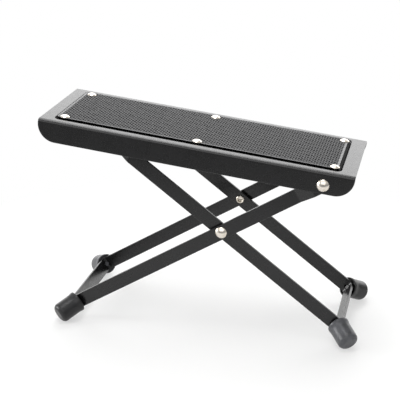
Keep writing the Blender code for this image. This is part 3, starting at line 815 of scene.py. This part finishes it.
def build_washers(frames, rivets, finish):
    """Spacer washers between the frames, stamped with broken edges."""
    bore, outside, half = rivets.shank / 2 + PLAY, rivets.washer / 2, rivets.washer_sheet / 2
    edge = 0.2 * MM
    section = [
        (bore, -half),
        (outside - edge, -half),
        (outside, edge - half),
        (outside, half - edge),
        (outside - edge, half),
        (bore, half),
        (bore, -half),
    ]
    points, faces = turned_mesh(section)
    middle = (frames.outer_face - frames.sheet + frames.inner_face) / 2
    for where, side in SIDES:
        place = across_axes(OUTER_AXES, side * middle)
        piece = make_piece(f"spacer_washer_{where}", points, faces, place, finish)
        dress(piece, "outer_frame", "zinc_plate", f"scissor_washer_{where}")


def build_lock_rod(frames, rivets, finish):
    """The turned rod between the inner frame's tips, its tenons riveted over outside them."""
    gap, chamfer, undercut, rim = 0.05 * MM, 0.5 * MM, 0.1 * MM, 0.2 * MM
    shoulder, end = frames.inner_tip - frames.sheet - gap, frames.inner_tip + gap
    radius, tenon, head = rivets.rod / 2, rivets.tenon / 2, rivets.rod_head / 2
    dome = rivets.rod_head_height - rim
    crown = [(head * math.cos(t), end + rim + dome * math.sin(t)) for t in np.linspace(0.3, 1.4, 6)]
    half = [
        (radius, shoulder - chamfer),
        (radius - chamfer, shoulder),
        (tenon, shoulder),
        (tenon, end),
        (head - undercut, end),
        (head, end + rim),
        *crown,
        (0, end + rivets.rod_head_height),
    ]
    points, faces = turned_mesh([(r, -z) for r, z in reversed(half)] + half)
    axes = axes_at(ROD, 0) @ Matrix.Rotation(QUARTER_TURN, 4, "X")
    piece = make_piece("turned_lock_rod", points, faces, axes, finish)
    dress(piece, "inner_frame", "zinc_plate", "lock_rod")


def finish_rail(finish):
    """The notched rail keeps its CAD shape, with the edges of its cut and folded sheet broken."""
    rail = frame["nodes"]["notch_rail"]
    rail.data.materials.clear()
    rail.data.materials.append(finish)
    broken = rail.modifiers.new("broken_edges", "BEVEL")
    broken.width = 0.3 * MM
    broken.segments = 2
    broken.limit_method = "ANGLE"
    broken.angle_limit = math.radians(40)


# Frames and feet


def corner_along(frames, body, axes, foot_side):
    """Where the strap's middle line turns the frame's lower corners, along the frame's own axes."""
    low, high = cad_box(body, axes)
    return high.x - frames.sheet / 2 if foot_side > 0 else low.x + frames.sheet / 2


def build_strap_frame(frames, rivets, finish, name, axes, foot_side, pin, pin_width, tip, arm, step, run):
    """A strap bent into a U: its closed end on the floor, its arms stepped towards what they join.

    Its pin, which its tips hang on, is given from the scissor rivets, and foot_side is the way to its feet.
    """
    half_sheet, width = frames.sheet / 2, frames.width / 2
    corner_x = corner_along(frames, f"{name}_frame", axes, foot_side)
    tip_x = pin - foot_side * width
    near = tip_x + foot_side * step
    far = near + foot_side * run
    tip_y, arm_y = tip - half_sheet, arm - half_sheet
    corners = [(tip_x, tip_y), (near, tip_y), (far, arm_y), (corner_x, arm_y)]
    corners += [(x, -y) for x, y in reversed(corners)]
    bends = [frames.step_bend, frames.step_bend, frames.bend]
    lengths, line, normals = along_bends(corners, bends + bends[::-1])
    middle = lengths[-1] / 2

    def place(u, v, depth):
        x, y, nx, ny = (np.interp(u + middle, lengths, c) for c in (*line.T, *normals.T))
        return np.stack((x + nx * (half_sheet - depth), y + ny * (half_sheet - depth), v), axis=1)

    radius = width - frames.edge
    ends = [middle - width + radius * math.sin(t) for t in np.linspace(0, QUARTER_TURN, 15)]
    inside = [u - middle for u in lengths if width < u < 2 * middle - width]
    to_edge = [0.3, 0.6, 0.85, 0.97, 1]
    points, faces = sheet_mesh(
        sorted(-u for u in ends) + inside + ends,
        [0],
        to_edge,
        (middle, width),
        width,
        frames.sheet,
        frames.edge,
        place,
    )
    piece = make_piece(f"{name}_strap_frame", points, faces, axes, finish)
    # The drills run well past the arms, and past both faces of the strap at its corners.
    past_arms, past_corner = 70 * MM, 6 * MM
    across, hole = Vector((0, past_arms, 0)), Vector((pin, 0, 0))
    holes = [(-across, across, rivets.shank / 2 + PLAY)]
    holes.append((hole - across, hole + across, pin_width / 2 + PLAY))
    for side in (-1, 1):
        corner = Vector((corner_x, side * arm_y, 0))
        out = Vector((foot_side, side, 0)).normalized() * past_corner
        holes.append((corner - out, corner + out, frames.foot_stem / 2 + PLAY))
    drilled(piece, holes)
    even_shading(piece)
    dress(piece, f"{name}_frame", "black_steel", f"{name}_frame")


def build_frames(frames, rivets, finish):
    """The outer frame, hung in the plate's flanges, and the inner one, which carries the lock rod."""
    build_strap_frame(
        frames, rivets, finish, "outer", OUTER_AXES, -1, (PIVOT - SCISSOR).length, rivets.shank,
        frames.outer_tip, frames.outer_face, frames.outer_step, frames.outer_run,
    )
    build_strap_frame(
        frames, rivets, finish, "inner", INNER_AXES, 1, -(ROD - SCISSOR).length, rivets.tenon,
        frames.inner_tip, frames.inner_face, frames.inner_step, frames.inner_run,
    )


def foot_outline(frames):
    """Half outline of a foot about its axis, from its stem's end to its own end.

    Nought is the sharp corner of the strap's middle line.
    """
    apex = frames.bend * (math.sqrt(2) - 1)
    outer_face = frames.sheet / 2 - apex
    seat = outer_face + 0.05 * MM
    mouth = outer_face + 0.3 * MM - frames.foot_lip_depth
    reach = mouth + frames.foot_length
    stem, stem_end, stem_chamfer = frames.foot_stem / 2, -apex - frames.sheet / 2, 0.3 * MM
    outside, inside = frames.foot_mouth / 2, frames.foot_mouth / 2 - frames.foot_lip
    lip, fillet = frames.foot_lip / 2, 0.5 * MM
    # The collar round the mouth is 3 mm high with a little draft, and the body below it is slimmer.
    collar, shoulder, body = mouth + 3 * MM, mouth + 3.6 * MM, mouth + 8 * MM
    draft, waist, slimmer = 0.05 * MM, 0.45 * MM, 0.5 * MM
    rounding, end = frames.foot_rounding, frames.foot_end / 2
    return [
        (0, stem_end),
        (stem - stem_chamfer, stem_end),
        (stem, stem_end + stem_chamfer),
        (stem, seat),
        (inside - fillet, seat),
        (inside, seat - 0.4 * MM),
        *arc((inside + lip, mouth + lip), lip, -2 * QUARTER_TURN, 0, 8),
        (outside - draft, collar),
        (outside - waist, shoulder),
        (outside - slimmer, body),
        *arc((end - rounding, reach - rounding), rounding, 0, QUARTER_TURN, 10),
        (end - rounding - 2 * MM, reach),
        (0, reach),
    ]


def build_feet(frames, finish):
    """Four rubber feet, each on the diagonal of its frame's corner."""
    points, faces = turned_mesh(foot_outline(frames), steps=56)
    # The last entry is how much grey the front and the back foot carry: partly real bloom, partly painted
    # highlight, heaviest on the feet that catch the light.
    kinds = (
        ("outer_foot", OUTER_AXES, "outer_frame", -1, frames.outer_face, (0.1, 0.8)),
        ("inner_foot", INNER_AXES, "inner_frame", 1, frames.inner_face, (1, 0)),
    )
    for name, axes, body, foot_side, face, blooms_and_sheen in kinds:
        corner_x = corner_along(frames, body, axes, foot_side)
        for (where, side), bloom_and_sheen in zip(SIDES, blooms_and_sheen):
            out = Vector((foot_side, side, 0)).to_track_quat("Z", "X").to_matrix().to_4x4()
            place = axes @ Matrix.Translation((corner_x, side * (face - frames.sheet / 2), 0)) @ out
            piece = make_piece(f"rubber_{name}_{where}", points, faces, place, finish)
            piece.color = opaque([bloom_and_sheen] * 3)
            dress(piece, body, "foot_rubber", f"{name}_{where}")


# Stage


def softbox(name, place, target, width, height, radiance):
    """A soft rectangular lamp that looks this bright, where 1 is white."""
    lamp = bpy.data.lights.new(name, "AREA")
    lamp.shape = "RECTANGLE"
    lamp.size, lamp.size_y = width, height
    lamp.energy = math.pi * width * height * radiance
    holder = bpy.data.objects.new(name, lamp)
    bpy.context.scene.collection.objects.link(holder)
    holder.location = place
    holder.rotation_euler = (Vector(target) - Vector(place)).to_track_quat("-Z", "Y").to_euler()
    holder.visible_camera = False


def looked_at(tree, path):
    """One for the rays that come from the camera, also through something clear."""
    return add_node(
        tree, "Math",
        {0: path.outputs["Is Camera Ray"], 1: path.outputs["Is Transmission Ray"]},
        operation="ADD",
    )


def pale_floor(colours):
    """Matt white studio board: it takes the stool's soft shadow, and fades to plain white further out."""
    made = bpy.data.materials.new("pale_floor")
    made.use_nodes = True
    tree = made.node_tree
    tree.nodes.remove(tree.nodes["Principled BSDF"])
    place = add_node(tree, "TexCoord").outputs["Object"]
    cloud = add_node(tree, "TexNoise", {"Vector": place, "Scale": per_mm(60), "Detail": 3})
    shade = add_node(
        tree, "Mix", {0: cloud, 6: opaque(colours.floor_dull), 7: opaque(colours.floor)}, data_type="RGBA"
    )
    board = add_node(tree, "BsdfDiffuse", {"Color": shade.outputs[2]})
    white = add_node(tree, "Emission", {"Color": WHITE, "Strength": 1})
    away = add_node(tree, "VectorMath", {0: place}, operation="LENGTH")
    far = add_node(
        tree, "MapRange",
        {"Value": away.outputs["Value"], "From Min": 0.2, "From Max": 0.4, "To Min": 0.5, "To Max": 1},
    )
    path = add_node(tree, "LightPath")
    straight = looked_at(tree, path)
    seen = add_node(tree, "Math", {0: straight, 1: path.outputs["Is Glossy Ray"]}, operation="MAXIMUM")
    shown = add_node(tree, "Math", {0: seen, 1: far}, operation="MULTIPLY")
    both = add_node(tree, "MixShader", {0: shown, 1: board, 2: white})
    feed(tree, tree.nodes["Material Output"], {"Surface": both})
    return made


def build_floor(colours):
    """A board that runs from just in front of the stool to far behind it."""
    aside, front, back = 3, -0.45, 4
    mesh = bpy.data.meshes.new("studio_floor")
    corners = [(-aside, front, 0), (aside, front, 0), (aside, back, 0), (-aside, back, 0)]
    mesh.from_pydata(corners, [], [(0, 1, 2, 3)])
    mesh.materials.append(pale_floor(colours))
    floor = bpy.data.objects.new("studio_floor", mesh)
    bpy.context.scene.collection.objects.link(floor)


def build_lamps():
    """Large soft panels behind, overhead and in front, and a small bright one on the left."""
    softbox("back_panel", (-0.15, 1.7, 0.73), (-0.15, 0, 0.73), width=3.3, height=1.44, radiance=1.8)
    softbox("overhead_panel", (-0.2, 0.5, 2.0), (-0.2, 0, 0.15), width=0.8, height=2.6, radiance=6)
    softbox("front_panel", (0.1, -2.2, 1.7), (0.1, 0, 0.15), width=3.0, height=2.1, radiance=1.2)
    softbox("left_panel", (-1.6, -0.35, 0.45), (0, 0, 0.1), width=0.8, height=0.7, radiance=9)


def build_world():
    """A white backdrop to look at, dim light from all round, and a brighter left and rear for metal."""
    world = bpy.context.scene.world or bpy.data.worlds.new("studio")
    bpy.context.scene.world = world
    world.use_nodes = True
    tree = world.node_tree
    tree.nodes.clear()
    path = add_node(tree, "LightPath")
    towards = add_node(tree, "TexCoord").outputs["Generated"]
    height = add_node(tree, "SeparateXYZ", {"Vector": towards})
    # Metal mirrors the white on the left, behind and overhead, and a dim room low down elsewhere.
    overhead = add_node(
        tree, "MapRange", {"Value": height.outputs["Z"], "From Min": 0.1, "From Max": 0.5, "To Max": 0.5}
    )
    leftward = add_node(tree, "VectorMath", {0: towards, 1: (-0.8, 0.6, 0)}, operation="DOT_PRODUCT")
    aside = add_node(tree, "MapRange", {"Value": leftward.outputs["Value"], "From Min": 0, "From Max": 0.4})
    pale = add_node(tree, "Math", {0: overhead, 1: aside}, operation="MAXIMUM")
    mirrored_share = add_node(
        tree, "Math", {0: path.outputs["Is Glossy Ray"], 1: pale}, operation="MULTIPLY"
    )
    seen = looked_at(tree, path)
    shown = add_node(tree, "Math", {0: seen, 1: mirrored_share}, operation="MAXIMUM")
    dim = add_node(tree, "Background", {"Color": WHITE, "Strength": 0.35})
    white = add_node(tree, "Background", {"Color": WHITE, "Strength": 1})
    both = add_node(tree, "MixShader", {0: shown, 1: dim, 2: white})
    add_node(tree, "OutputWorld", {"Surface": both})


def place_camera():
    """A long lens in front of the stool, a little to its right, looking down and to the left."""
    place = (0.22229, -1.00504, 0.49984)
    yaw, pitch = math.radians(13.06), math.radians(20.39)
    level = math.cos(pitch)
    way = Vector((-math.sin(yaw) * level, math.cos(yaw) * level, -math.sin(pitch)))
    camera = bpy.data.cameras.new("camera")
    camera.lens = 100.77
    camera.sensor_width = 36
    camera.clip_end = 20
    holder = bpy.data.objects.new("camera", camera)
    bpy.context.scene.collection.objects.link(holder)
    holder.location = place
    holder.rotation_euler = way.to_track_quat("-Z", "Y").to_euler()
    bpy.context.scene.camera = holder


def build_stage(colours):
    """Floor, lamps, backdrop and camera."""
    build_floor(colours)
    build_lamps()
    build_world()
    bpy.context.scene.view_settings.view_transform = "Standard"
    place_camera()


# Operators and panel


class FOOTSTOOL_OT_plate(bpy.types.Operator):
    """Builds the folded top plate"""

    bl_idname = "footstool.plate"
    bl_label = "Top plate"

    def execute(self, context):
        scene = context.scene
        coat = shared(black_powder_coat, scene.footstool_finishes)
        build_plate(scene.footstool_plate, scene.footstool_rivets, scene.footstool_mat, coat)
        return {"FINISHED"}


class FOOTSTOOL_OT_mat(bpy.types.Operator):
    """Builds the ribbed mat"""

    bl_idname = "footstool.mat"
    bl_label = "Ribbed mat"

    def execute(self, context):
        build_mat(context.scene.footstool_mat, context.scene.footstool_finishes)
        return {"FINISHED"}


class FOOTSTOOL_OT_mat_rivets(bpy.types.Operator):
    """Builds the six rivets of the mat"""

    bl_idname = "footstool.mat_rivets"
    bl_label = "Mat rivets"

    def execute(self, context):
        scene = context.scene
        nickel = shared(barrelled_nickel_plate, scene.footstool_finishes)
        build_mat_rivets(scene.footstool_plate, scene.footstool_mat, scene.footstool_rivets, nickel)
        return {"FINISHED"}


class FOOTSTOOL_OT_frames(bpy.types.Operator):
    """Builds the two strap frames"""

    bl_idname = "footstool.frames"
    bl_label = "Strap frames"

    def execute(self, context):
        scene = context.scene
        coat = shared(black_powder_coat, scene.footstool_finishes)
        build_frames(scene.footstool_frames, scene.footstool_rivets, coat)
        return {"FINISHED"}


class FOOTSTOOL_OT_feet(bpy.types.Operator):
    """Builds the four rubber feet"""

    bl_idname = "footstool.feet"
    bl_label = "Rubber feet"

    def execute(self, context):
        scene = context.scene
        build_feet(scene.footstool_frames, moulded_foot_rubber(scene.footstool_finishes))
        return {"FINISHED"}


class FOOTSTOOL_OT_rivets(bpy.types.Operator):
    """Builds the scissor and pivot rivets and the spacer washers"""

    bl_idname = "footstool.rivets"
    bl_label = "Rivets and washers"

    def execute(self, context):
        scene = context.scene
        nickel = shared(barrelled_nickel_plate, scene.footstool_finishes)
        zinc = shared(clear_zinc_plate, scene.footstool_finishes)
        build_big_rivets(scene.footstool_plate, scene.footstool_frames, scene.footstool_rivets, nickel)
        build_washers(scene.footstool_frames, scene.footstool_rivets, zinc)
        return {"FINISHED"}


class FOOTSTOOL_OT_lock(bpy.types.Operator):
    """Builds the lock rod and finishes the notched rail"""

    bl_idname = "footstool.lock"
    bl_label = "Lock rod and rail"

    def execute(self, context):
        scene = context.scene
        zinc = shared(clear_zinc_plate, scene.footstool_finishes)
        build_lock_rod(scene.footstool_frames, scene.footstool_rivets, zinc)
        finish_rail(shared(black_powder_coat, scene.footstool_finishes))
        return {"FINISHED"}


class FOOTSTOOL_OT_stage(bpy.types.Operator):
    """Sets up the floor, the lamps and the camera"""

    bl_idname = "footstool.stage"
    bl_label = "Studio"

    def execute(self, context):
        build_stage(context.scene.footstool_finishes)
        return {"FINISHED"}


class FOOTSTOOL_PT_pieces(bpy.types.Panel):
    """Lists the pieces of the footstool"""

    bl_idname = "FOOTSTOOL_PT_pieces"
    bl_label = "Footstool"
    bl_space_type = "VIEW_3D"
    bl_region_type = "UI"
    bl_category = "Footstool"

    def draw(self, context):
        for operator in OPERATORS:
            self.layout.operator(operator.bl_idname)


GROUPS = {
    "footstool_plate": FootstoolPlate,
    "footstool_mat": FootstoolMat,
    "footstool_frames": FootstoolFrames,
    "footstool_rivets": FootstoolRivets,
    "footstool_finishes": FootstoolFinishes,
}
OPERATORS = (
    FOOTSTOOL_OT_plate,
    FOOTSTOOL_OT_mat,
    FOOTSTOOL_OT_mat_rivets,
    FOOTSTOOL_OT_frames,
    FOOTSTOOL_OT_feet,
    FOOTSTOOL_OT_rivets,
    FOOTSTOOL_OT_lock,
    FOOTSTOOL_OT_stage,
)


def register():
    for kind in (*GROUPS.values(), *OPERATORS, FOOTSTOOL_PT_pieces):
        bpy.utils.register_class(kind)
    for name, group in GROUPS.items():
        setattr(bpy.types.Scene, name, PointerProperty(type=group))


def unregister():
    for name in GROUPS:
        delattr(bpy.types.Scene, name)
    for kind in reversed((*GROUPS.values(), *OPERATORS, FOOTSTOOL_PT_pieces)):
        bpy.utils.unregister_class(kind)


def main():
    register()
    bpy.ops.footstool.plate()
    bpy.ops.footstool.mat()
    bpy.ops.footstool.mat_rivets()
    bpy.ops.footstool.frames()
    bpy.ops.footstool.feet()
    bpy.ops.footstool.rivets()
    bpy.ops.footstool.lock()
    bpy.ops.footstool.stage()


if __name__ == "__main__":
    main()
